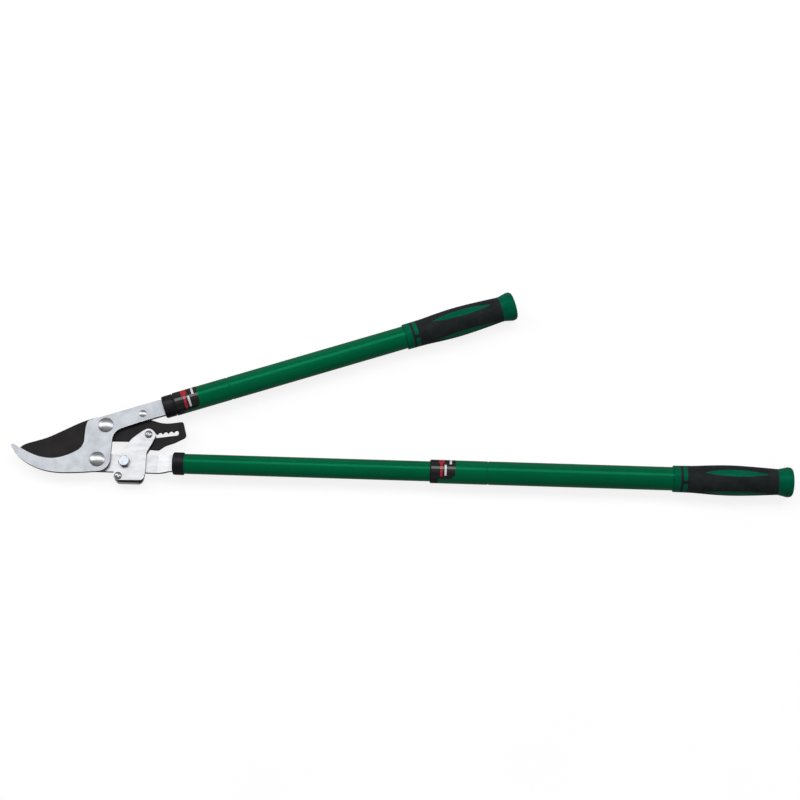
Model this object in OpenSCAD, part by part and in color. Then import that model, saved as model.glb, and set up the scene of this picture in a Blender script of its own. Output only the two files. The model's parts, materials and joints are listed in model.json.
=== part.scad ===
// Ratchet bypass loppers with two telescopic handles.
// Tool plane is XY: +X runs along the lower handle, +Y towards the upper handle, +Z is up.
// The loppers lie flat with the jaws shut, the upper handle pushed in and the lower one pulled out.
// Origin: middle of the footprint, on the surface the loppers lie on.

/* [Handles] */
// Angle between the two handle axes when the jaws are shut
handle_angle = 19.6; // [17:0.2:24]
// Travel of each telescopic handle
telescope = 309.5; // [220:0.5:309.5]
// Outside diameter of the thicker, outer tube
outer_d = 29.6; // [29:0.1:30.4]
// Outside diameter of the thinner, inner tube
inner_d = 25.4; // [25:0.1:25.4]
// Wall of both tubes
tube_wall = 1; // [0.9:0.05:1]
// Length of the plastic ferrule where the head enters the inner tube
ferrule_len = 14; // [13.5:0.5:20]
// Outside diameter of the ferrule
ferrule_d = 28.6; // [28.2:0.1:29.4]
// Crimped groove in the outer tube, measured from its front end
groove_at = 73; // [60:0.2:80]
// Front of the upper grip, measured from the front end of its outer tube
upper_grip_at = 310; // [300:0.5:330]
// Front of the lower grip, measured from the front end of its outer tube
lower_grip_at = 305.5; // [300:0.5:330]

/* [Grips] */
// Length of a grip with its flared end
grip_len = 148.7; // [144:0.1:160]
// Largest diameter of a grip
grip_d = 38.2; // [37.6:0.2:40]
// Thickness of the soft layer
soft_t = 1.5; // [1.2:0.1:1.6]

/* [Head] */
// Thickness of the hook plate
hook_t = 5; // [4.5:0.1:5]
// Thickness of the cutting blade and of the lower strap
blade_t = 4.5; // [4:0.1:4.5]
// Thickness of the two link plates
link_t = 2.9; // [2.5:0.1:3]
// Diameter of the two large rivets
rivet_d = 10; // [9:0.5:11]
// Head diameter of the two large rivets
rivet_head_d = 19.5; // [18:0.5:21]
// Width of the arm and of the tang inside the handle tube
tang_w = 21.6; // [20:0.2:21.6]

/* [Ratchet] */
// Number of notches in the tail of the blade
notches = 6; // [5:1:6]
// Distance from notch to notch
notch_pitch = 7; // [6.6:0.1:7]
// Diameter of the screws and of the ratchet pin
screw_d = 5; // [4.5:0.1:5]
// Diameter of the link bolt
bolt_d = 8; // [7:0.5:8]
// Wire of the link spring
wire_d = 1.2; // [1:0.1:1.2]

/* [Hidden] */
$fn = 64;
FIT = 0.02;
RUN = 0.05;
SLIDE = 0.1;
CUT = 1;

// Pivots, measured from the handle pivot
handle_pivot = [0, 0];
blade_pivot = [6.6, 46.2];
link_pivot = [34.3, -1.8];
pin_at = [61.8, 36.0];
spacer_at = [28.1, -20.6];
stud_at = [52.2, 63.4];

// Levels: zero is the middle of the hook plate and the height of both handle axes
hook_top = hook_t / 2;
hook_bottom = -hook_t / 2;
blade_top = hook_bottom - SLIDE;
blade_bottom = blade_top - blade_t;
washer_t = 1.1;
washer_w = 5.5;
washer_top = blade_bottom - SLIDE;
washer_bottom = washer_top - washer_t;
front_bottom = blade_top + 2 * SLIDE;
front_top = front_bottom + link_t;
spring_room = 4.3;
rear_top = blade_bottom - spring_room;
rear_bottom = rear_top - link_t;

// Handle stations, measured from the front face of the ferrule
upper_tilt = handle_angle;
upper_offset = 1.4;
upper_start = 76;
lower_offset = -2;
lower_start = 96;
ferrule_wall = 2;
ferrule_round = 2.6;
front_gap = 0.3;
outer_front = ferrule_len + front_gap;
lock_gap = 0.3;
groove_w = 2.8;
groove_floor = 1;
groove_depth = 0.5;
lock_flange_t = 2;
lock_ring_len = 13.6;
ring_front = groove_at + groove_w / 2 + lock_gap;
inner_end = outer_front + telescope + ring_front - lock_flange_t - lock_gap;
ring_at = inner_end + lock_flange_t + lock_gap;
inner_r = inner_d / 2;
inner_bore = inner_r - tube_wall;
outer_r = outer_d / 2;
outer_bore = outer_r - tube_wall;
grip_floor = 12;
bush_len = 30;
bush_cap = 10;
bush_round = 1.4;
label_from = 1.8;
label_len = 30;
label_t = 0.15;
upper_label_mid = 16;
lower_label_mid = 33;
label_corner = 7;
tang_len = 42;
pin_from_front = 8.5;
tang_pin_r = 2.5;
cam_r = 8;
cam_shift = 0.8;

// Grip stations, as [distance from the grip front, radius]
grip_r = grip_d / 2;
ring_len = 8;
band_at = 11.3;
band_end = 16.4;
soft_end = grip_len - 18.5;
window_turn = 11;
band_half = 37;

// Placement of the shut tool: middle of its footprint on the surface
dir_upper = [cos(upper_tilt), sin(upper_tilt)];
left_upper = [-sin(upper_tilt), cos(upper_tilt)];
function along(u, v) = blade_pivot + u * dir_upper + v * left_upper;
upper_axis_start = along(upper_start, upper_offset);
tip_r = 2.4;
tip_at = [-108.6, 15.2];
handle_end = outer_front + lower_grip_at + grip_len;
flange_t = 2.2;
flange_x = 27;
flange_len = 26;
flange_y = -26.6;
x_min = tip_at[0] - tip_r;
x_max = lower_start + telescope + handle_end;
y_min = flange_y;
y_max = upper_axis_start[1] + max([for (p = grip_profile())
    (outer_front + upper_grip_at + p[0]) * dir_upper[1] + p[1] * dir_upper[0]]);
place = [-(x_min + x_max) / 2, -(y_min + y_max) / 2, grip_r];

// ---------- small functions ----------

function unit(v) = v / norm(v);
function wrap(a) = a > 180 ? a - 360 : a < -180 ? a + 360 : a;

// One rounded corner: p is [x, y, radius], a and b are its neighbours
function corner(a, p, b) =
    let (c = [p[0], p[1]],
         d1 = unit([a[0], a[1]] - c),
         d2 = unit([b[0], b[1]] - c),
         half = acos(max(-1, min(1, d1 * d2))) / 2,
         m = c + unit(d1 + d2) * p[2] / sin(half),
         s = c + d1 * p[2] / tan(half) - m,
         e = c + d2 * p[2] / tan(half) - m,
         a1 = atan2(s[1], s[0]),
         da = wrap(atan2(e[1], e[0]) - a1),
         n = max(2, ceil(abs(da) / 12)))
    [for (k = [0 : n]) m + p[2] * [cos(a1 + da * k / n), sin(a1 + da * k / n)]];

// Polygon with rounded corners; a corner with radius 0 stays sharp
function rounded(v) =
    let (n = len(v))
    [for (i = [0 : n - 1])
        for (q = v[i][2] > 0 ? corner(v[(i + n - 1) % n], v[i], v[(i + 1) % n])
                             : [[v[i][0], v[i][1]]]) q];

// Smooth curve through the points of v, k steps from point to point
function smooth(v, k) =
    let (n = len(v))
    [for (i = [0 : n - 2])
        for (j = [0 : i == n - 2 ? k : k - 1])
            let (t = j / k,
                 a = v[max(0, i - 1)],
                 b = v[i],
                 c = v[i + 1],
                 d = v[min(n - 1, i + 2)])
            ((2 * b) + (c - a) * t + (2 * a - 5 * b + 4 * c - d) * t * t
                + (3 * b - a - 3 * c + d) * t * t * t) / 2];

// ---------- outlines of the head ----------

// Inner edge of the hook, from its root at the plate to its tip
function hook_inner() = smooth([
    [-18.6, 30], [-18.8, 22.5], [-22.6, 14], [-33, 6.8], [-47, 1.2], [-60, -0.6],
    [-75, 1.6], [-90, 7.6], [-107.6, 17.4]], 4);

// Outer edge of the hook, from its tip to the corner below the handle pivot
function hook_outer() = smooth([
    [-110.6, 14], [-104, 5.2], [-92, -4.9], [-78, -12.2], [-62, -17], [-44, -18.6],
    [-20, -17.6], [0.6, -15.6]], 4);

stud_r = 3.2;
pivot_corner_r = 15;
arm_top = 13;
arm_low = -9.2;

// Right edge of the plate, from the corner below the handle pivot up to the lower side of the arm
function hook_right() =
    let (p = rounded([
        [-30, -15.6, 0], [16, -15.6, pivot_corner_r], [16.4, 38.5, 17],
        [along(40, arm_low)[0], along(40, arm_low)[1], 0]]))
    [for (i = [1 : len(p) - 1]) p[i]];

// Cutting edge of the blade, from its heel to its point, hidden behind the hook when shut
blade_edge_points = [
    [-9, 20], [-17, 12.4], [-27, 4.8], [-40, -1.2], [-53, -4.6], [-66, -5],
    [-78, -1.8], [-90, 3.6], [-102, 9.4]];
edge_steps = 3;
function blade_edge() = smooth(blade_edge_points, edge_steps);
function blade_back() = smooth([
    [-102, 9.4], [-100, 14.4], [-93.4, 19.4], [-82, 23.4], [-67, 28.8], [-50.5, 37.4],
    [-37, 45], [-25.5, 51], [-12, 56.4], [4, 60.6]], 3);
function tail_outline() =
    let (p = rounded([
        [4, 60.6, 0], [50, 60, 8], [66.4, 55.8, 10], [80, 51.6, 40], [104, 55.8, 3.2], [109.6, 36, 5],
        [95, 27.6, 40], [83.5, 23.2, 12], [75.5, 16.8, 6], [62.5, 17.6, 5], [51, 28, 12],
        [14, 27.3, 20], [-9, 20, 0]]))
    [for (i = [1 : len(p) - 2]) p[i]];
function blade_outline() = concat(blade_edge(), blade_back(), tail_outline());
bevel_w = 7.5;
bevel_rise = 3.9;

slot_tilt = 9.3;
seat_play = 1;
notch_r = screw_d / 2 + 0.2;
seat_r = screw_d / 2 + 0.6;
channel_w = screw_d + 0.6;
channel_drop = 2.2;

// Link plate: low holds the heights of its lower right and left corners, narrow sets the right side in
function link_outline(low, narrow) = rounded([
    [54.6, 41.2, 6], [61.6, 45.4, 7.6], [72.4, 37.6, 7.8], [66.2 - narrow, 22, 24], [61.2 - narrow, 12, 10],
    [61.6 - narrow, -17, 4], [59.6 - narrow, low[0], 4.6 + narrow], [22.4, low[1], 5.6 + narrow],
    [22, -11, 16], [30, 13, 30], [41, 30.2, 40]]);

module at(p, z = 0) {
    translate([p[0], p[1], z]) children();
}

// Everything below is drawn around the handle pivot and then set down on the surface
module set_down() {
    translate(place) children();
}

module slab(top, bottom) {
    translate([0, 0, bottom]) linear_extrude(top - bottom) children();
}

// ---------- hook plate and its fasteners ----------

module hook_plate() {
    color("silver") set_down() difference() {
        union() {
            slab(hook_top, hook_bottom) {
                hook_face();
                translate(upper_axis_start) rotate(upper_tilt)
                    translate([-CUT, -tang_w / 2]) square([tang_len + CUT, tang_w]);
            }
            slab(hook_top, hook_bottom) translate(tip_at) circle(r = tip_r);
        }
        at(blade_pivot, hook_bottom - CUT) cylinder(r = rivet_d / 2 + FIT, h = hook_t + 2 * CUT);
        at(handle_pivot, hook_bottom - CUT) cylinder(r = rivet_d / 2 + FIT, h = hook_t + 2 * CUT);
        at(stud_at, hook_bottom - CUT) cylinder(r = stud_r + FIT, h = hook_t + 2 * CUT);
        translate(upper_axis_start) rotate(upper_tilt) translate([pin_from_front, 0, hook_bottom - CUT])
            cylinder(r = tang_pin_r + FIT, h = hook_t + 2 * CUT);
    }
}

module hook_face() {
    shoulder = 4;
    arm_end = concat(
        [along(upper_start - shoulder, arm_low)],
        [along(upper_start - 1, upper_offset - tang_w / 2)],
        [along(upper_start, upper_offset - tang_w / 2)],
        [along(upper_start, upper_offset + tang_w / 2)],
        [along(upper_start - 1, upper_offset + tang_w / 2)],
        [along(upper_start - shoulder, arm_top)]);
    top_left = smooth([along(-16, arm_top), [-16.2, 51.2], [-18.2, 44.6], [-18.6, 37]], 3);
    polygon(concat(hook_inner(), hook_outer(), hook_right(), arm_end, top_left));
}

// Solid of revolution of a domed head: rim below, spherical cap above
module dome(r, rim, rise) {
    ball = (r * r + rise * rise) / (2 * rise);
    cylinder(r = r, h = rim);
    translate([0, 0, rim]) rotate_extrude() intersection() {
        translate([0, rise - ball]) circle(r = ball);
        square([r, rise]);
    }
}

module rivet(p) {
    head_rim = 0.8;
    head_rise = 2.6;
    tail_rim = 0.5;
    tail_rise = 2;
    tail_r = rivet_d / 2 + 3.4;
    at(p, hook_top) dome(rivet_head_d / 2, head_rim, head_rise);
    at(p, washer_bottom - CUT) cylinder(r = rivet_d / 2, h = hook_top - washer_bottom + 2 * CUT);
    at(p, washer_bottom) mirror([0, 0, 1]) dome(tail_r, tail_rim, tail_rise);
}

module blade_rivet() {
    color("gainsboro") set_down() rivet(blade_pivot);
}

module handle_rivet() {
    color("gainsboro") set_down() rivet(handle_pivot);
}

module pivot_washers() {
    color("silver") set_down() for (p = [blade_pivot, handle_pivot]) difference() {
        at(p, washer_bottom) cylinder(r = rivet_d / 2 + washer_w, h = washer_t);
        at(p, washer_bottom - CUT) cylinder(r = rivet_d / 2 + FIT, h = washer_t + 2 * CUT);
    }
}

// Stud on the arm that the tail of the blade stops against
module stop_stud() {
    head_r = 4.8;
    head_rim = 0.4;
    head_rise = 1.2;
    color("gainsboro") set_down() {
        at(stud_at, hook_top) dome(head_r, head_rim, head_rise);
        at(stud_at, blade_bottom) cylinder(r = stud_r, h = hook_top - blade_bottom + CUT / 2);
    }
}

// ---------- cutting blade ----------

module cutting_blade() {
    color("dimgray") set_down() difference() {
        slab(blade_top, blade_bottom) polygon(blade_outline());
        at(blade_pivot, blade_bottom - CUT) cylinder(r = rivet_d / 2 + RUN, h = blade_t + 2 * CUT);
        slab(blade_top + CUT, blade_bottom - CUT) ratchet_slot();
        edge_bevel();
    }
}

// Slot in the tail: a straight channel with notches along its upper side, the first one a longer seat
module ratchet_slot() {
    translate(pin_at) rotate(slot_tilt) {
        for (k = [1 : notches - 1]) translate([k * notch_pitch, 0]) circle(r = notch_r);
        for (s = [-1, 1]) translate([s * seat_play, 0]) circle(r = seat_r);
        translate([-seat_play, -seat_r]) square([2 * seat_play, 2 * seat_r]);
        translate([-seat_play, -channel_drop - channel_w / 2])
            square([(notches - 1) * notch_pitch + seat_play, channel_w]);
        for (x = [-seat_play, (notches - 1) * notch_pitch])
            translate([x, -channel_drop]) circle(r = channel_w / 2);
    }
}

// Wedge taken off the rear face along the cutting edge
module edge_bevel() {
    line = blade_edge();
    n = len(line);
    side = [for (i = [0 : n - 1])
        let (d = unit(line[min(n - 1, i + 1)] - line[max(0, i - 1)])) [d[1], -d[0]]];
    low = blade_bottom - CUT;
    over = 3;
    slope = bevel_rise / bevel_w;
    fade = [for (i = [0 : n - 1]) min(1, 0.25 + i / 4)];
    sections = [for (i = [0 : n - 1])
        let (w = bevel_w * fade[i], o = line[i] - side[i] * over, m = line[i] + side[i] * w)
        [[m[0], m[1], blade_bottom - CUT],
         [m[0], m[1], blade_bottom],
         [o[0], o[1], blade_bottom + slope * (w + over)],
         [o[0], o[1], low]]];
    points = [for (s = sections) for (p = s) p];
    walls = [for (i = [0 : n - 2]) for (k = [0 : 3])
        [4 * i + k, 4 * i + (k + 1) % 4, 4 * i + 4 + (k + 1) % 4, 4 * i + 4 + k]];
    caps = [[3, 2, 1, 0], [for (k = [0 : 3]) 4 * (n - 1) + k]];
    polyhedron(points = points, faces = concat(walls, caps), convexity = 6);
}

// ---------- lower strap ----------

strap_up = 9.4;
strap_down = -14.3;
strap_eye = 12.6;
strap_left = -14.6;
bend_from = 77;
bend_to = 91;

module lower_strap() {
    bore = bush_r + RUN;
    color("silver") set_down() difference() {
        intersection() {
            translate([0, 40, 0]) rotate([90, 0, 0]) linear_extrude(80) strap_side();
            slab(hook_t + CUT, blade_bottom - CUT) strap_face();
        }
        at(handle_pivot, blade_bottom - CUT) cylinder(r = rivet_d / 2 + RUN, h = blade_t + 2 * CUT);
        at(link_pivot, blade_bottom - CUT) cylinder(r = bore, h = blade_t + 2 * CUT);
        at(peg_at, blade_bottom - CUT) cylinder(r = peg_r + FIT, h = blade_t + 2 * CUT);
        at([lower_start + pin_from_front, lower_offset], -hook_t)
            cylinder(r = tang_pin_r + FIT, h = 2 * hook_t);
    }
}

module strap_face() {
    tang_end = lower_start + tang_len;
    half = tang_w / 2;
    polygon(rounded([
        [strap_left, strap_eye, strap_eye], [strap_left, strap_down, strap_eye], [84, strap_down, 9],
        [lower_start - 1, lower_offset - half, 3], [tang_end, lower_offset - half, 1],
        [tang_end, lower_offset + half, 1], [lower_start - 3, lower_offset + half, 4],
        [84, strap_up, 4], [13, strap_up, 9], [5, strap_eye, 9]]));
}

module strap_side() {
    tang_end = lower_start + tang_len;
    polygon([
        [strap_left - CUT, blade_bottom], [bend_from, blade_bottom], [bend_to, -blade_t / 2],
        [tang_end, -blade_t / 2], [tang_end, blade_t / 2], [bend_to - 0.7, blade_t / 2],
        [bend_from - 0.7, blade_top], [strap_left - CUT, blade_top]]);
}

// ---------- link: two plates, bolt, spring and screws ----------

bush_r = 6;
spacer_r = 3.4;
coil_r = bush_r + 0.5 + wire_d / 2;
peg_r = 1.5;
peg_at = link_pivot + [15, coil_r - wire_d / 2 - peg_r - RUN];

module link_holes(bottom) {
    at(link_pivot, bottom - CUT) cylinder(r = bolt_d / 2 + FIT, h = link_t + 2 * CUT);
    for (p = [pin_at, spacer_at])
        at(p, bottom - CUT) cylinder(r = screw_d / 2 + FIT, h = link_t + 2 * CUT);
}

module link_plate_front() {
    color("whitesmoke") set_down() difference() {
        slab(front_top, front_bottom) polygon(link_outline([-25.6, -26.2], 0));
        link_holes(front_bottom);
    }
}

module link_plate_rear() {
    color("whitesmoke") set_down() {
        difference() {
            slab(rear_top, rear_bottom) polygon(link_outline([flange_y, flange_y], 2.2));
            link_holes(rear_bottom);
        }
        translate([flange_x, flange_y, rear_bottom])
            cube([flange_len, flange_t, blade_bottom - 3 * SLIDE - rear_bottom]);
    }
}

module hex_head(af, h) {
    intersection() {
        cylinder(r = af / sqrt(3), h = h, $fn = 6);
        cylinder(r1 = af / sqrt(3) + h - 0.6, r2 = af / 2 - 0.1, h = h);
    }
}

module hex_nut(af, h, bore) {
    difference() {
        cylinder(r = af / sqrt(3), h = h, $fn = 6);
        translate([0, 0, -CUT]) cylinder(r = bore, h = h + 2 * CUT);
    }
}

// Across flats of a hex head or nut for each millimetre of thread, and the thread past a nut
hex_ratio = 1.6;
thread_out = 0.7;
bolt_nut_t = 3.8;

module link_bolt() {
    head_h = 5.2;
    head_turn = 12;
    bottom = rear_bottom - bolt_nut_t - thread_out;
    color("gainsboro") set_down() {
        at(link_pivot, front_top) rotate(head_turn) hex_head(hex_ratio * bolt_d, head_h);
        at(link_pivot, bottom) cylinder(r = bolt_d / 2, h = front_top - bottom + CUT);
    }
}

module link_nut() {
    color("gainsboro") set_down() at(link_pivot, rear_bottom - bolt_nut_t)
        hex_nut(hex_ratio * bolt_d, bolt_nut_t, bolt_d / 2 + FIT);
}

// Plain bush on the link bolt; the strap turns on it and the plates are clamped against its ends
module link_bush() {
    color("darkgray") set_down() at(link_pivot, rear_top) difference() {
        cylinder(r = bush_r, h = front_bottom - rear_top);
        translate([0, 0, -CUT]) cylinder(r = bolt_d / 2 + FIT, h = front_bottom - rear_top + 2 * CUT);
    }
}

screw_nut_t = 3.4;

module link_screws() {
    head_r = 4.85;
    head_rim = 0.9;
    head_rise = 1.9;
    cross_w = 1.1;
    cross_l = 5.4;
    cross_floor = front_top + 1.2;
    bottom = rear_bottom - screw_nut_t - thread_out;
    color("gainsboro") set_down() for (p = [pin_at, spacer_at]) at(p, 0) {
        difference() {
            translate([0, 0, front_top]) dome(head_r, head_rim, head_rise);
            for (a = [25, 115]) rotate(a)
                translate([-cross_l / 2, -cross_w / 2, cross_floor]) cube([cross_l, cross_w, head_rise]);
        }
        translate([0, 0, bottom]) cylinder(r = screw_d / 2, h = front_top - bottom + CUT);
    }
}

module link_screw_nuts() {
    color("gainsboro") set_down() for (p = [pin_at, spacer_at])
        at(p, rear_bottom - screw_nut_t) hex_nut(hex_ratio * screw_d, screw_nut_t, screw_d / 2 + FIT);
}

module link_spacer() {
    color("darkgray") set_down() at(spacer_at, rear_top) difference() {
        cylinder(r = spacer_r, h = front_bottom - rear_top);
        translate([0, 0, -CUT]) cylinder(r = screw_d / 2 + FIT, h = front_bottom - rear_top + 2 * CUT);
    }
}

// Peg on the strap that the free leg of the spring presses against
module spring_peg() {
    reach = 2.6;
    color("gainsboro") set_down() at(peg_at, blade_bottom - reach)
        cylinder(r = peg_r, h = blade_t + reach - 2 * SLIDE);
}

// Torsion spring round the bush: one leg on the peg of the strap, the other on the spacer
module link_spring() {
    reach = spacer_at - link_pivot;
    lean = asin((coil_r - spacer_r - wire_d / 2 - RUN) / norm(reach));
    leg_dir = atan2(reach[1], reach[0]) + 360 + lean;
    turn_end = leg_dir - 90 + 720;
    z_first = blade_bottom - wire_d / 2 - SLIDE;
    z_last = rear_top + wire_d / 2 + SLIDE;
    steps = 44;
    coil = [for (i = [0 : steps])
        let (a = 90 + (turn_end - 90) * i / steps)
        [coil_r * cos(a), coil_r * sin(a), z_first + (z_last - z_first) * i / steps]];
    free_leg = [[20, coil_r, z_first]];
    fixed_leg = [coil[steps] + 23 * [cos(leg_dir), sin(leg_dir), 0]];
    color("dimgray") set_down() at(link_pivot) wire(concat(free_leg, coil, fixed_leg), wire_d / 2, 8);
}

// Round wire along a path that never runs straight up
module wire(path, r, sides) {
    n = len(path);
    rings = [for (i = [0 : n - 1])
        let (d = path[min(n - 1, i + 1)] - path[max(0, i - 1)],
             f = unit([d[0], d[1], 0]),
             s = [-f[1], f[0], 0])
        for (k = [0 : sides - 1])
            path[i] + r * (cos(360 * k / sides) * s + sin(360 * k / sides) * [0, 0, 1])];
    walls = [for (i = [0 : n - 2]) for (k = [0 : sides - 1])
        [sides * i + k, sides * i + (k + 1) % sides,
         sides * i + sides + (k + 1) % sides, sides * i + sides + k]];
    caps = [[for (k = [0 : sides - 1]) sides - 1 - k], [for (k = [0 : sides - 1]) sides * (n - 1) + k]];
    polyhedron(points = rings, faces = concat(walls, caps), convexity = 8);
}

// ---------- handles: drawn along +X from the front face of the ferrule ----------

module upper_handle() {
    set_down() at(upper_axis_start) rotate(upper_tilt) children();
}

module lower_handle() {
    set_down() at([lower_start, lower_offset]) children();
}

module along_x() {
    rotate([90, 0, 90]) children();
}

module revolve() {
    rotate([90, 0, 90]) rotate_extrude() rotate(90) mirror([0, 1]) children();
}

module ferrule() {
    h = ferrule_d / 2;
    q = ferrule_round;
    difference() {
        revolve() polygon(rounded([
            [0, 0, 0], [0, h, q], [ferrule_len, h, 0.6], [ferrule_len, inner_r + FIT, 0],
            [ferrule_wall, inner_r + FIT, 0], [ferrule_wall, 0, 0]]));
        translate([-CUT, -tang_w / 2 - SLIDE, -hook_t / 2 - SLIDE])
            cube([ferrule_wall + 2 * CUT, tang_w + 2 * SLIDE, hook_t + 2 * SLIDE]);
    }
}

module tang_pin() {
    translate([pin_from_front, 0, -inner_r + 2 * SLIDE])
        cylinder(r = tang_pin_r, h = inner_d - 4 * SLIDE);
}

module inner_tube() {
    difference() {
        translate([ferrule_wall + FIT, 0, 0]) along_x()
            cylinder(r = inner_r, h = inner_end - ferrule_wall - FIT);
        translate([ferrule_wall - CUT, 0, 0]) along_x() cylinder(r = inner_bore, h = inner_end);
        translate([pin_from_front, 0, -inner_r - CUT])
            cylinder(r = tang_pin_r + FIT, h = inner_d + 2 * CUT);
    }
}

// Plug in the end of the inner tube with an off-centre journal for the lock ring
module lock_plug() {
    plug_len = 20;
    ring_room = lock_ring_len + 2 * lock_gap;
    translate([inner_end - plug_len, 0, 0]) along_x() cylinder(r = inner_bore - FIT, h = plug_len);
    disc_t = 2;
    translate([inner_end + FIT, 0, 0]) along_x() cylinder(r = inner_r - SLIDE, h = lock_flange_t - FIT);
    translate([inner_end - CUT, 0, 0]) along_x() cylinder(r = cam_r, h = 2 * CUT);
    translate([inner_end + lock_flange_t, cam_shift, 0]) along_x() cylinder(r = cam_r, h = ring_room);
    translate([inner_end + lock_flange_t + ring_room, 0, 0]) along_x()
        cylinder(r = inner_r - 7 * SLIDE, h = disc_t);
}

// Split ring that spreads inside the outer tube when the handle is twisted
module lock_ring() {
    slit = 2.4;
    ring_bore = cam_r + cam_shift + lock_gap;
    translate([ring_at, 0, 0]) difference() {
        along_x() cylinder(r = outer_bore - lock_gap, h = lock_ring_len);
        translate([-CUT, 0, 0]) along_x() cylinder(r = ring_bore, h = lock_ring_len + 2 * CUT);
        translate([-CUT, -slit / 2, 0]) cube([lock_ring_len + 2 * CUT, slit, outer_d]);
    }
}

function outer_len(grip_front) = grip_front + grip_len - grip_floor;

module outer_tube(grip_front) {
    end = outer_len(grip_front);
    g = groove_at;
    w = groove_w / 2;
    f = groove_floor / 2;
    revolve() polygon([
        [bush_cap, outer_bore], [g - w, outer_bore], [g - f, outer_bore - groove_depth],
        [g + f, outer_bore - groove_depth], [g + w, outer_bore], [end, outer_bore],
        [end, outer_r], [g + w, outer_r], [g + f, outer_r - groove_depth],
        [g - f, outer_r - groove_depth], [g - w, outer_r], [bush_cap, outer_r]]);
}

// Plastic bush in the front of the outer tube, with a cap as wide as the tube
module bushing() {
    revolve() polygon(rounded([
        [0, inner_r + RUN, 0], [bush_len, inner_r + RUN, 0], [bush_len, outer_bore - FIT, 0],
        [bush_cap - FIT, outer_bore - FIT, 0], [bush_cap - FIT, outer_r, 0], [0, outer_r, bush_round]]));
}

// Sticker wrapped half way round the front of the outer tube, its two rear corners cut off.
// Its middle is turned by the angle mid from the top of the tube.
module label(mid) {
    far = outer_d;
    translate([label_from, 0, 0]) rotate([-mid, 0, 0]) difference() {
        along_x() cylinder(r = outer_r + FIT + label_t, h = label_len);
        translate([-CUT, 0, 0]) along_x() cylinder(r = outer_r + FIT, h = label_len + 2 * CUT);
        translate([-CUT, -far, -2 * far]) cube([label_len + 2 * CUT, 2 * far, 2 * far]);
        for (side = [-1, 1]) scale([1, side, 1]) rotate([90, 0, 0]) linear_extrude(far)
            polygon([[label_len - label_corner, -CUT], [label_len + CUT, -CUT],
                     [label_len + CUT, label_corner]]);
    }
}

// Outer contour of a grip as [distance, radius]
function grip_profile() = [for (p = concat(
    smooth([[0, 0.872], [0.16, 0.892], [0.32, 0.965], [0.46, 1], [0.6, 0.977], [0.75, 0.915],
            [0.872, 0.855]], 3),
    smooth([[0.89, 0.862], [0.925, 0.925], [0.957, 0.983], [0.975, 0.984], [0.99, 0.955]], 2),
    [[1, 0.88]])) [p[0] * grip_len, p[1] * grip_r]];

module grip_body(shrink = 0) {
    revolve() polygon(concat(
        [[0, 0]],
        [for (p = grip_profile()) [p[0], p[1] - shrink]],
        [[grip_len, 0]]));
}

// Places on the grip where the hard core shows through the soft layer: four lenses and four short bands
module core_windows() {
    half_lens = smooth([[0.252, 0], [0.357, 3.2], [0.478, 4.6], [0.594, 4.4], [0.68, 3], [0.74, 1.7],
                        [0.782, 0.9]], 3);
    lens = concat(
        [for (p = half_lens) [p[0] * grip_len, p[1]]],
        [for (i = [len(half_lens) - 1 : -1 : 1]) [half_lens[i][0] * grip_len, -half_lens[i][1]]]);
    far = 2 * grip_r;
    for (a = [0 : 90 : 270]) rotate([a - window_turn, 0, 0]) {
        translate([0, 0, grip_r / 2]) linear_extrude(grip_r) polygon(lens);
        translate([band_at, 0, 0]) along_x() linear_extrude(band_end - band_at)
            polygon([[0, 0], [far * sin(band_half), far * cos(band_half)],
                     [-far * sin(band_half), far * cos(band_half)]]);
    }
}

module soft_zone(clear) {
    translate([ring_len + clear, 0, 0]) along_x() cylinder(r = grip_d, h = soft_end - ring_len - 2 * clear);
}

module grip_core() {
    difference() {
        grip_body();
        translate([-CUT, 0, 0]) along_x()
            cylinder(r = outer_r + FIT, h = grip_len - grip_floor + FIT + CUT);
        difference() {
            soft_zone(0);
            grip_body(soft_t);
            core_windows();
        }
    }
}

module grip_soft() {
    difference() {
        intersection() {
            grip_body();
            soft_zone(FIT);
        }
        grip_body(soft_t - FIT);
        core_windows();
    }
}

module upper_ferrule() {
    color("dimgray") upper_handle() ferrule();
}

module upper_tang_pin() {
    color("gainsboro") upper_handle() tang_pin();
}

module upper_inner_tube() {
    color("seagreen") upper_handle() inner_tube();
}

module upper_lock_plug() {
    color("gray") upper_handle() lock_plug();
}

module upper_lock_ring() {
    color("dimgray") upper_handle() lock_ring();
}

module upper_outer_tube() {
    color("darkgreen") upper_handle() translate([outer_front, 0, 0]) outer_tube(upper_grip_at);
}

module upper_bushing() {
    color("dimgray") upper_handle() translate([outer_front, 0, 0]) bushing();
}

module upper_label() {
    color("black") upper_handle() translate([outer_front, 0, 0]) label(upper_label_mid);
}

module upper_grip_core() {
    color("green") upper_handle() translate([outer_front + upper_grip_at, 0, 0]) grip_core();
}

module upper_grip_soft() {
    color("darkslategray") upper_handle() translate([outer_front + upper_grip_at, 0, 0]) grip_soft();
}

module lower_ferrule() {
    color("dimgray") lower_handle() ferrule();
}

module lower_tang_pin() {
    color("gainsboro") lower_handle() tang_pin();
}

module lower_inner_tube() {
    color("seagreen") lower_handle() inner_tube();
}

module lower_lock_plug() {
    color("gray") lower_handle() lock_plug();
}

module lower_lock_ring() {
    color("dimgray") lower_handle() lock_ring();
}

module lower_outer_tube() {
    color("darkgreen") lower_handle() translate([outer_front + telescope, 0, 0]) outer_tube(lower_grip_at);
}

module lower_bushing() {
    color("dimgray") lower_handle() translate([outer_front + telescope, 0, 0]) bushing();
}

module lower_label() {
    color("black") lower_handle() translate([outer_front + telescope, 0, 0]) label(lower_label_mid);
}

module lower_grip_core() {
    color("green") lower_handle()
        translate([outer_front + telescope + lower_grip_at, 0, 0]) grip_core();
}

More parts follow.
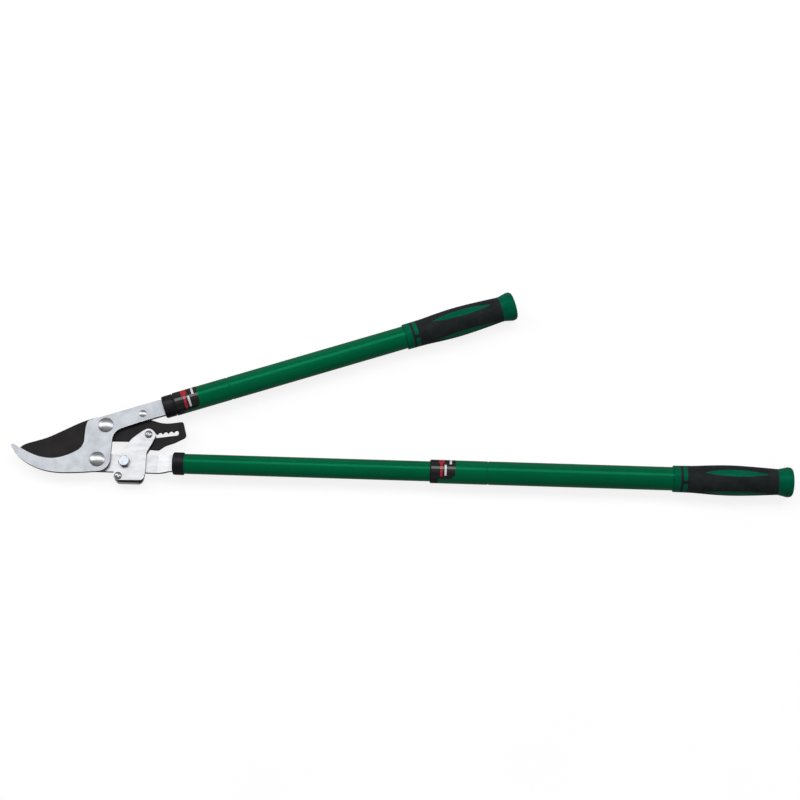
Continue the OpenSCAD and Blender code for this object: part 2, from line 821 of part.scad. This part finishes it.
module lower_grip_soft() {
    color("darkslategray") lower_handle()
        translate([outer_front + telescope + lower_grip_at, 0, 0]) grip_soft();
}

hook_plate();
blade_rivet();
handle_rivet();
pivot_washers();
stop_stud();
cutting_blade();
lower_strap();
spring_peg();
link_plate_front();
link_plate_rear();
link_bolt();
link_nut();
link_bush();
link_spring();
link_screws();
link_screw_nuts();
link_spacer();
upper_ferrule();
upper_tang_pin();
upper_inner_tube();
upper_lock_plug();
upper_lock_ring();
upper_outer_tube();
upper_bushing();
upper_label();
upper_grip_core();
upper_grip_soft();
lower_ferrule();
lower_tang_pin();
lower_inner_tube();
lower_lock_plug();
lower_lock_ring();
lower_outer_tube();
lower_bushing();
lower_label();
lower_grip_core();
lower_grip_soft();
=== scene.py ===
import json
import math

import bpy
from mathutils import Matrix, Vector


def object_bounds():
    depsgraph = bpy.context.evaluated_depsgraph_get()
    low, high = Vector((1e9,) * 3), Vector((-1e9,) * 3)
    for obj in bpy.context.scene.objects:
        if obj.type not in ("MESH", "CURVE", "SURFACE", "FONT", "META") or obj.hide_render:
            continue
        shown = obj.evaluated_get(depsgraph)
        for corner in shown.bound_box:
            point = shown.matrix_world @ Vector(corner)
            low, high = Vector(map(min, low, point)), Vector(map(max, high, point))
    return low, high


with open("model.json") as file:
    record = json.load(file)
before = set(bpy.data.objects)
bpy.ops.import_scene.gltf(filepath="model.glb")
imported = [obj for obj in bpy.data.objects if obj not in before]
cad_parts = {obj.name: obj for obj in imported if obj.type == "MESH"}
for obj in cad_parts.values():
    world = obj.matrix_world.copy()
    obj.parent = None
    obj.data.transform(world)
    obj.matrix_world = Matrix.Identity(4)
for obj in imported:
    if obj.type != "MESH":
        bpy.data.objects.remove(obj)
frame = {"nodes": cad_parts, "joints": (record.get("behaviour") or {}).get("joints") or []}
cad_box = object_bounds()
nodes = frame["nodes"]
joints = {j["name"]: j for j in frame["joints"]}
scene = bpy.context.scene
MM = 0.001

HANDLES = ("upper", "lower")


# ---------- places taken from the frame ----------

class HandleSpace:
    """The line of one handle: its start at the ferrule, its direction and its turn about Z."""

    def __init__(self, side):
        twist = joints[side + "_twist"]
        self.start = Vector(twist["pos_m"])
        self.along = Vector(twist["axis"]).normalized()
        self.turn = math.atan2(self.along.y, self.along.x)

    def stations(self, node):
        """Where a node begins and ends along the handle."""
        reach = [(v.co - self.start).dot(self.along) for v in nodes[node].data.vertices]
        return min(reach), max(reach)


spaces = {side: HandleSpace(side) for side in HANDLES}


# ---------- building materials from nodes ----------

class Tree:
    """One node material with a Principled shader, and short calls that add nodes to it."""

    def __init__(self, name, **settings):
        self.material = bpy.data.materials.new(name)
        self.material.use_nodes = True
        self.tree = self.material.node_tree
        self.tree.nodes.clear()
        output = self.tree.nodes.new("ShaderNodeOutputMaterial")
        self.shader = self.tree.nodes.new("ShaderNodeBsdfPrincipled")
        self.tree.links.new(self.shader.outputs["BSDF"], output.inputs["Surface"])
        for socket, value in settings.items():
            self.shader.inputs[socket.replace("_", " ")].default_value = value

    def add(self, kind, sockets=None, **properties):
        node = self.tree.nodes.new(kind)
        for key, value in properties.items():
            setattr(node, key, value)
        for key, value in (sockets or {}).items():
            self.feed(node.inputs[key], value)
        return node

    def feed(self, socket, value):
        if isinstance(value, bpy.types.NodeSocket):
            self.tree.links.new(value, socket)
        else:
            socket.default_value = value

    def drive(self, socket, value):
        self.feed(self.shader.inputs[socket], value)

    def math(self, operation, *values, clamp=False):
        node = self.add("ShaderNodeMath", operation=operation, use_clamp=clamp)
        for i, value in enumerate(values):
            self.feed(node.inputs[i], value)
        return node.outputs[0]

    def mix(self, factor, a, b):
        node = self.add("ShaderNodeMix", data_type="RGBA", clamp_factor=True)
        self.feed(node.inputs[0], factor)
        for i, value in ((6, a), (7, b)):
            self.feed(node.inputs[i], value if isinstance(value, bpy.types.NodeSocket) else (*value, 1))
        return node.outputs[2]

    def spread(self, value, low, high, to_low=0.0, to_high=1.0):
        """Maps low..high smoothly to to_low..to_high and holds it there outside. Low may be above high."""
        node = self.add("ShaderNodeMapRange", interpolation_type="SMOOTHSTEP")
        for i, v in enumerate((value, low, high, to_low, to_high)):
            self.feed(node.inputs[i], v)
        return node.outputs[0]

    def place(self, stretch=(1, 1, 1)):
        """Position on the object at rest, squeezed along some axes to make streaks."""
        where = self.add("ShaderNodeTexCoord").outputs["Object"]
        if tuple(stretch) == (1, 1, 1):
            return where
        return self.add("ShaderNodeMapping", {"Vector": where, "Scale": stretch}).outputs[0]

    def handle_place(self, space, stretch=(1, 1, 1)):
        """Position in a handle's own space: X along it, Y across it and Z up."""
        where = self.add("ShaderNodeTexCoord").outputs["Object"]
        local = self.add("ShaderNodeMapping", {
            "Vector": where, "Location": space.start, "Rotation": (0, 0, space.turn)},
            vector_type="TEXTURE").outputs[0]
        return self.add("ShaderNodeMapping", {"Vector": local, "Scale": stretch}).outputs[0]

    def noise(self, where, size, detail=4.0, roughness=0.55):
        """Noise whose largest features are about size metres across."""
        node = self.add("ShaderNodeTexNoise", {
            "Vector": where, "Scale": 1 / size, "Detail": detail, "Roughness": roughness})
        return node.outputs[0]

    def bump(self, height, depth, normal=None):
        sockets = {"Height": height, "Distance": depth, "Strength": 1.0}
        if normal is not None:
            sockets["Normal"] = normal
        return self.add("ShaderNodeBump", sockets).outputs[0]

    def edges(self, radius, low=0.02, high=0.25):
        """One along edges that are sharper than radius, zero on flat and gently curved faces."""
        soft = self.add("ShaderNodeBevel", {"Radius": radius}, samples=4).outputs[0]
        true = self.add("ShaderNodeNewGeometry").outputs["Normal"]
        dot = self.add("ShaderNodeVectorMath", operation="DOT_PRODUCT")
        self.feed(dot.inputs[0], soft)
        self.feed(dot.inputs[1], true)
        return self.spread(self.math("SUBTRACT", 1.0, dot.outputs["Value"]), low, high)


# Sides of sheet steel as (darkest, lightest, how metallic): the first set paints shade on sides cut in a
# press, the second paints a reflection of the pale floor on sides bent up and plated
PAINTED_SHADE_SIDES = ((0.10, 0.10, 0.115), (0.19, 0.19, 0.218), 1.0)
PAINTED_FLOOR_LIGHT_SIDES = ((0.62, 0.62, 0.68), (0.74, 0.74, 0.80), 0.0)


def plated_steel(name, dark, light, rough, grain, edge_highlight_and_wear_colour, streak=(1, 1, 1), sides=PAINTED_SHADE_SIDES):
    """Plated sheet steel: cloudy plating, a fine grain, edges made lighter by a painted highlight with some
    rubbing, and side faces with a colour of their own, which paints shade on cut sides and a reflection of
    the pale floor on bent sides.
    """
    t = Tree(name)
    where = t.place(streak)
    cloud = t.noise(where, 14 * MM, 3)
    fine = t.noise(where, grain, 5, 0.65)
    blend = t.math("ADD", t.math("MULTIPLY", cloud, 0.55), t.math("MULTIPLY", fine, 0.45))
    tone = t.spread(blend, 0.36, 0.64)
    colour = t.mix(tone, dark, light)
    # Edges are made lighter: a painted highlight along the edges, with some rubbing of the plating that also
    # lowers the roughness.
    edge_wear_and_highlight = t.edges(0.7 * MM)
    colour = t.mix(edge_wear_and_highlight, colour, edge_highlight_and_wear_colour)
    # Faces looking sideways get their own colour: painted shade on cut sides, a painted reflection of the
    # pale floor on bent sides.
    facing = t.add("ShaderNodeSeparateXYZ", {"Vector": t.add("ShaderNodeTexCoord").outputs["Normal"]})
    on_side = t.spread(t.math("ABSOLUTE", facing.outputs["Z"]), 0.5, 0.15)
    tear = t.spread(t.noise(t.place((1, 1, 0.3)), 1.1 * MM, 4, 0.7), 0.3, 0.7)
    side_dark, side_light, side_metallic = sides
    t.drive("Base Color", t.mix(on_side, colour, t.mix(tear, side_dark, side_light)))
    t.drive("Metallic", t.math("SUBTRACT", 1.0, t.math("MULTIPLY", on_side, 1 - side_metallic)))
    worn = t.math("MULTIPLY", edge_wear_and_highlight, -0.12)
    t.drive("Roughness", t.math("ADD", t.spread(fine, 0.3, 0.7, rough[0], rough[1]), worn))
    t.drive("Normal", t.bump(fine, 0.02 * MM))
    return t.material


def polished_zinc(name, tint, rough):
    """Zinc plated fastener: smooth, with faint haze and rubbing marks."""
    t = Tree(name, Metallic=1.0)
    where = t.place()
    haze = t.noise(where, 3 * MM, 4)
    marks = t.noise(t.place((1, 9, 1)), 1.2 * MM, 5, 0.7)
    t.drive("Base Color", t.mix(t.spread(haze, 0.35, 0.65), [c * 0.86 for c in tint], tint))
    t.drive("Roughness", t.spread(marks, 0.3, 0.75, rough[0], rough[1]))
    t.drive("Normal", t.bump(marks, 0.008 * MM))
    return t.material


def blade_coating():
    """Matte black anti-stick coating over steel: fine pebbling, faint rubs and grey edges."""
    t = Tree("black_blade_coating", Specular_IOR_Level=0.16)
    where = t.place()
    pebble = t.noise(where, 0.5 * MM, 4, 0.6)
    patch = t.noise(where, 18 * MM, 4)
    scuff = t.noise(t.place((1, 6, 1)), 5 * MM, 6, 0.7)
    rub = t.spread(scuff, 0.62, 0.8)
    ground = t.mix(t.spread(patch, 0.35, 0.65), (0.0090, 0.0075, 0.0090), (0.0141, 0.0120, 0.0141))
    colour = t.mix(t.math("MULTIPLY", rub, 0.35), ground, (0.05, 0.047, 0.052))
    edge_wear_and_highlight = t.math("MULTIPLY", t.edges(0.5 * MM), t.spread(patch, 0.3, 0.6, 0.5, 0.95))
    t.drive("Base Color", t.mix(edge_wear_and_highlight, colour, (0.11, 0.105, 0.115)))
    t.drive("Metallic", t.math("MULTIPLY", edge_wear_and_highlight, 0.6))
    t.drive("Roughness", t.spread(pebble, 0.3, 0.7, 0.46, 0.62))
    t.drive("Normal", t.bump(pebble, 0.03 * MM))
    return t.material


def green_enamel(side):
    """Gloss enamel on tube: light orange peel, slightly uneven colour, thin scratches along the tube."""
    t = Tree("green_enamel_" + side, Specular_IOR_Level=0.36, Specular_Tint=(0.04, 1.0, 0.45, 1))
    space = spaces[side]
    where = t.handle_place(space)
    peel = t.noise(where, 1.6 * MM, 2, 0.4)
    tone = t.noise(t.handle_place(space, (0.35, 1, 1)), 40 * MM, 3)
    line = t.noise(t.handle_place(space, (0.04, 1, 1)), 0.9 * MM, 3, 0.7)
    scratch = t.spread(line, 0.68, 0.78)
    colour = t.mix(t.spread(tone, 0.35, 0.65), (0.0006, 0.1050, 0.0410), (0.0008, 0.1220, 0.0485))
    t.drive("Base Color", t.mix(t.math("MULTIPLY", scratch, 0.4), colour, (0.004, 0.085, 0.040)))
    scuffed = t.math("MULTIPLY", scratch, 0.12)
    t.drive("Roughness", t.math("ADD", t.spread(peel, 0.3, 0.7, 0.13, 0.19), scuffed))
    t.drive("Normal", t.bump(peel, 0.012 * MM))
    return t.material


def black_plastic():
    """Satin moulded plastic with a fine spark-eroded grain."""
    t = Tree("black_moulded_plastic", Specular_IOR_Level=0.2)
    where = t.place()
    grain = t.noise(where, 0.35 * MM, 3, 0.6)
    flow = t.noise(where, 9 * MM, 3)
    # Edges are made lighter: a painted highlight along the edges.
    edge_wear_and_highlight = t.math("MULTIPLY", t.edges(0.5 * MM), 0.6)
    ground = t.mix(t.spread(flow, 0.35, 0.65), (0.0085, 0.0076, 0.0108), (0.0138, 0.0124, 0.0170))
    t.drive("Base Color", t.mix(edge_wear_and_highlight, ground, (0.035, 0.033, 0.038)))
    t.drive("Roughness", t.spread(grain, 0.3, 0.7, 0.34, 0.46))
    t.drive("Normal", t.bump(grain, 0.012 * MM))
    return t.material


def green_plastic(side):
    """Semi-gloss moulded handle plastic, a little cloudy from the moulding."""
    t = Tree("green_moulded_plastic_" + side, Specular_IOR_Level=0.16, Specular_Tint=(0.04, 1.0, 0.55, 1))
    where = t.handle_place(spaces[side])
    flow = t.noise(t.handle_place(spaces[side], (0.4, 1, 1)), 12 * MM, 4)
    grain = t.noise(where, 0.6 * MM, 3, 0.6)
    scuff = t.spread(t.noise(where, 4 * MM, 6, 0.7), 0.6, 0.8)
    ground = t.mix(t.spread(flow, 0.35, 0.65), (0.0006, 0.0900, 0.0440), (0.0010, 0.1130, 0.0560))
    t.drive("Base Color", t.mix(t.math("MULTIPLY", scuff, 0.3), ground, (0.008, 0.115, 0.070)))
    t.drive("Roughness", t.math("ADD", t.spread(grain, 0.3, 0.7, 0.30, 0.40), t.math("MULTIPLY", scuff, 0.1)))
    t.drive("Normal", t.bump(grain, 0.012 * MM))
    return t.material


def soft_grip(side):
    """Matte soft rubber: leather-like pebbling and paler, drier patches."""
    t = Tree("black_soft_grip_" + side, Specular_IOR_Level=0.15, Sheen_Weight=0.04, Sheen_Roughness=0.5)
    where = t.handle_place(spaces[side])
    cell = t.add("ShaderNodeTexVoronoi", {"Vector": where, "Scale": 1 / (0.9 * MM)}, feature="SMOOTH_F1")
    grain = t.noise(where, 0.4 * MM, 3, 0.6)
    pebble = t.math("ADD", t.math("MULTIPLY", cell.outputs["Distance"], 0.7), t.math("MULTIPLY", grain, 0.5))
    patch = t.noise(where, 16 * MM, 5, 0.6)
    # Edges are made lighter: a painted highlight along the edges.
    edge_wear_and_highlight = t.math("MULTIPLY", t.edges(0.5 * MM), 0.5)
    ground = t.mix(t.spread(patch, 0.35, 0.68), (0.0080, 0.0115, 0.0122), (0.0150, 0.0200, 0.0215))
    t.drive("Base Color", t.mix(edge_wear_and_highlight, ground, (0.035, 0.042, 0.045)))
    t.drive("Roughness", t.spread(pebble, 0.3, 0.8, 0.62, 0.78))
    t.drive("Normal", t.bump(pebble, 0.05 * MM))
    return t.material


def spring_wire():
    """Oiled spring wire, dark with a soft shine and drawing marks."""
    t = Tree("spring_wire", Metallic=1.0)
    mark = t.noise(t.place((1, 1, 7)), 0.5 * MM, 4, 0.7)
    t.drive("Base Color", t.mix(t.spread(mark, 0.3, 0.7), (0.16, 0.16, 0.17), (0.34, 0.34, 0.36)))
    t.drive("Roughness", t.spread(mark, 0.3, 0.7, 0.26, 0.4))
    t.drive("Normal", t.bump(mark, 0.01 * MM))
    return t.material


def grey_nylon():
    """Plain moulded nylon with a faint grain."""
    t = Tree("grey_nylon", Specular_IOR_Level=0.4)
    where = t.place()
    flow = t.noise(where, 6 * MM, 4)
    grain = t.noise(where, 0.5 * MM, 3)
    t.drive("Base Color", t.mix(t.spread(flow, 0.35, 0.65), (0.16, 0.16, 0.155), (0.23, 0.23, 0.22)))
    t.drive("Roughness", t.spread(grain, 0.3, 0.7, 0.42, 0.55))
    t.drive("Normal", t.bump(grain, 0.015 * MM))
    return t.material


# Printed bars on a sticker: [from, to] along it from its front, [from, to] round it in degrees, colour
RED = (0.42, 0.010, 0.022)
WHITE = (0.72, 0.72, 0.74)
PRINTED_BARS = (
    ((11.0 * MM, 14.2 * MM), (-44, 150), RED),
    ((9.2 * MM, 16.4 * MM), (27, 100), RED),
    ((16.4 * MM, 19.2 * MM), (-38, 17), WHITE),
    ((22.6 * MM, 25.6 * MM), (20, 100), WHITE),
)
STICKER_TURN = {"upper": -17, "lower": 0}


def printed_film(side):
    """Gloss printed sticker: a black ground with plain bars, and a slightly uneven film."""
    t = Tree("printed_film_" + side, Specular_IOR_Level=0.65, IOR=1.5)
    space = spaces[side]
    where = t.handle_place(space)
    local = t.add("ShaderNodeSeparateXYZ", {"Vector": where})
    front = space.stations(side + "_label")[0]
    along = t.math("SUBTRACT", local.outputs["X"], front)
    angle = t.math("MULTIPLY", t.math("ARCTAN2", local.outputs["Y"], local.outputs["Z"]), 180 / math.pi)
    angle = t.math("SUBTRACT", angle, float(STICKER_TURN[side]))
    dust = t.noise(where, 0.7 * MM, 4, 0.7)
    colour = t.mix(t.spread(dust, 0.3, 0.7), (0.0030, 0.0027, 0.0033), (0.0060, 0.0055, 0.0065))
    for (x0, x1), (a0, a1), ink in PRINTED_BARS:
        inside_x = t.math("MULTIPLY", t.spread(along, x0, x0 + 0.2 * MM), t.spread(along, x1, x1 - 0.2 * MM))
        inside_a = t.math("MULTIPLY", t.spread(angle, a0, a0 + 1), t.spread(angle, a1, a1 - 1))
        colour = t.mix(t.math("MULTIPLY", inside_x, inside_a), colour, ink)
    t.drive("Base Color", colour)
    wave = t.noise(where, 5 * MM, 2)
    t.drive("Roughness", t.spread(dust, 0.3, 0.7, 0.07, 0.12))
    t.drive("Normal", t.bump(wave, 0.02 * MM))
    return t.material


# ---------- surfaces of the carried-over pieces ----------

def round_edges(name, width, segments):
    """Merges the triangles of plane faces, then puts a small rounding on every sharp edge."""
    piece = nodes[name]
    weld = piece.modifiers.new("weld", "WELD")
    weld.merge_threshold = 1e-6
    plane = piece.modifiers.new("plane_faces", "DECIMATE")
    plane.decimate_type = "DISSOLVE"
    plane.angle_limit = math.radians(0.5)
    bevel = piece.modifiers.new("edge_rounding", "BEVEL")
    bevel.width = width
    bevel.segments = segments
    bevel.limit_method = "ANGLE"
    bevel.angle_limit = math.radians(35)
    bevel.use_clamp_overlap = True
    normals = piece.modifiers.new("normals", "WEIGHTED_NORMAL")
    normals.keep_sharp = True
    normals.weight = 60


def cover(material, *names):
    for name in names:
        piece = nodes[name]
        piece.data.materials.clear()
        piece.data.materials.append(material)


def dress_head():
    # For each plated plate, the colour given after the grain size is a painted highlight on the edges, mixed
    # with some rubbing.
    cover(plated_steel("satin_plate", (0.295, 0.308, 0.332), (0.378, 0.394, 0.424), (0.36, 0.48), 0.9 * MM,
                       (0.64, 0.66, 0.69)), "hook_plate")
    zinc = ((0.35, 0.355, 0.366), (0.44, 0.445, 0.462), (0.32, 0.42), 0.7 * MM, (0.69, 0.70, 0.73), (1, 3, 1))
    cover(plated_steel("bright_zinc_plate", *zinc), "lower_strap", "link_plate_front")
    # The rear plate's sides and bent flange are painted light grey and not metallic: a painted reflection of
    # the pale floor.
    cover(plated_steel("zinc_plate_painted_light_sides", *zinc, sides=PAINTED_FLOOR_LIGHT_SIDES), "link_plate_rear")
    cover(blade_coating(), "cutting_blade")
    cover(polished_zinc("polished_rivets", (0.47, 0.48, 0.50), (0.25, 0.34)),
          "blade_rivet", "handle_rivet", "pivot_washers", "stop_stud", "link_screws")
    cover(polished_zinc("zinc_fasteners", (0.31, 0.34, 0.37), (0.20, 0.30)),
          "link_bolt", "link_nut", "link_bush", "link_screw_nuts", "link_spacer", "spring_peg",
          "upper_tang_pin", "lower_tang_pin")
    cover(spring_wire(), "link_spring")


def dress_handles():
    plastic = black_plastic()
    nylon = grey_nylon()
    for side in HANDLES:
        cover(green_enamel(side), side + "_inner_tube", side + "_outer_tube")
        cover(plastic, side + "_ferrule", side + "_bushing")
        cover(nylon, side + "_lock_plug", side + "_lock_ring")
        cover(printed_film(side), side + "_label")
        cover(green_plastic(side), side + "_grip_core")
        cover(soft_grip(side), side + "_grip_soft")


PLATE_EDGE = 0.45 * MM
BLADE_EDGE = 0.3 * MM

dress_head()
dress_handles()
for plate in ("hook_plate", "lower_strap", "link_plate_front", "link_plate_rear"):
    round_edges(plate, PLATE_EDGE, segments=3)
round_edges("cutting_blade", BLADE_EDGE, segments=2)


# ---------- floor, light and camera ----------

FLOOR_SIZE = 12.0
FLOOR_BELOW = 0.2 * MM
FLOOR_GLOW = 0.84


def make_floor():
    """Pale floor, hidden from glossy and diffuse rays so that undersides and cut edges stay dark."""
    bpy.ops.mesh.primitive_plane_add(size=FLOOR_SIZE, location=(0, 0, -FLOOR_BELOW))
    floor = bpy.context.object
    floor.name = "floor"
    t = Tree("pale_floor", Roughness=0.9, Specular_IOR_Level=0.1, Emission_Color=(1, 1, 1, 1),
             Emission_Strength=FLOOR_GLOW)
    mottle = t.noise(t.place(), 0.25, 3)
    t.drive("Base Color", t.mix(t.spread(mottle, 0.3, 0.7), (0.19, 0.19, 0.19), (0.21, 0.21, 0.21)))
    floor.data.materials.append(t.material)
    floor.visible_glossy = False
    floor.visible_diffuse = False


def aim(thing, target):
    thing.rotation_mode = "QUATERNION"
    thing.rotation_quaternion = (Vector(target) - thing.location).to_track_quat("-Z", "Y")


def area_light(name, place, size_x, size_y, watts):
    data = bpy.data.lights.new(name, "AREA")
    data.shape = "RECTANGLE"
    data.size = size_x
    data.size_y = size_y
    data.energy = watts
    light = bpy.data.objects.new(name, data)
    light.location = place
    scene.collection.objects.link(light)
    aim(light, (0, 0, 0))
    light.visible_camera = False
    return light


# Brightness of the room seen from the tool: towards the camera, away from it, and below the horizon
WORLD_FRONT = 0.22
WORLD_BACK = 0.34
WORLD_BELOW = 0.20


def make_light():
    area_light("strip", place=(0, 0.64, 2.0), size_x=5.4, size_y=0.95, watts=41)
    area_light("top", place=(0, 0.2, 3.2), size_x=3.4, size_y=3.4, watts=6)
    area_light("side", place=(-2.3, 0.9, 1.5), size_x=1.2, size_y=1.2, watts=10)
    fill = area_light("fill", place=(0, -1.6, 0.5), size_x=2.4, size_y=0.8, watts=3)
    fill.visible_glossy = False
    world = bpy.data.worlds.new("studio")
    world.use_nodes = True
    scene.world = world
    tree = world.node_tree
    background = tree.nodes["Background"]
    where = tree.nodes.new("ShaderNodeTexCoord")
    split = tree.nodes.new("ShaderNodeSeparateXYZ")
    tree.links.new(where.outputs["Generated"], split.inputs[0])
    sky = WORLD_FRONT
    for axis, start, end, value in (("Y", -0.7, 0.8, WORLD_BACK), ("Z", 0.1, -0.1, WORLD_BELOW)):
        ramp = tree.nodes.new("ShaderNodeMapRange")
        ramp.interpolation_type = "SMOOTHSTEP"
        ramp.inputs["From Min"].default_value = start
        ramp.inputs["From Max"].default_value = end
        ramp.inputs["To Max"].default_value = value
        if isinstance(sky, float):
            ramp.inputs["To Min"].default_value = sky
        else:
            tree.links.new(sky, ramp.inputs["To Min"])
        tree.links.new(split.outputs[axis], ramp.inputs["Value"])
        sky = ramp.outputs[0]
    background.inputs["Color"].default_value = (1, 1, 1, 1)
    tree.links.new(sky, background.inputs["Strength"])


# Viewing angle in degrees, distance and the width in view in metres
CAMERA_ELEVATION = 68.0
CAMERA_AZIMUTH = 1.86
CAMERA_DISTANCE = 2.15
FIELD_WIDTH = 1.024
TARGET_FROM_CENTRE = Vector((-0.0024, -0.0173, 0))


def make_camera():
    low, high = cad_box
    target = (low + high) / 2 + TARGET_FROM_CENTRE
    a = math.radians(CAMERA_AZIMUTH)
    e = math.radians(CAMERA_ELEVATION)
    back = Vector((math.sin(a) * math.cos(e), -math.cos(a) * math.cos(e), math.sin(e)))
    data = bpy.data.cameras.new("camera")
    data.lens = data.sensor_width * CAMERA_DISTANCE / FIELD_WIDTH
    camera = bpy.data.objects.new("camera", data)
    scene.collection.objects.link(camera)
    camera.location = target + back * CAMERA_DISTANCE
    aim(camera, target)
    scene.camera = camera


make_floor()
make_light()
make_camera()
scene.view_settings.view_transform = "Standard"
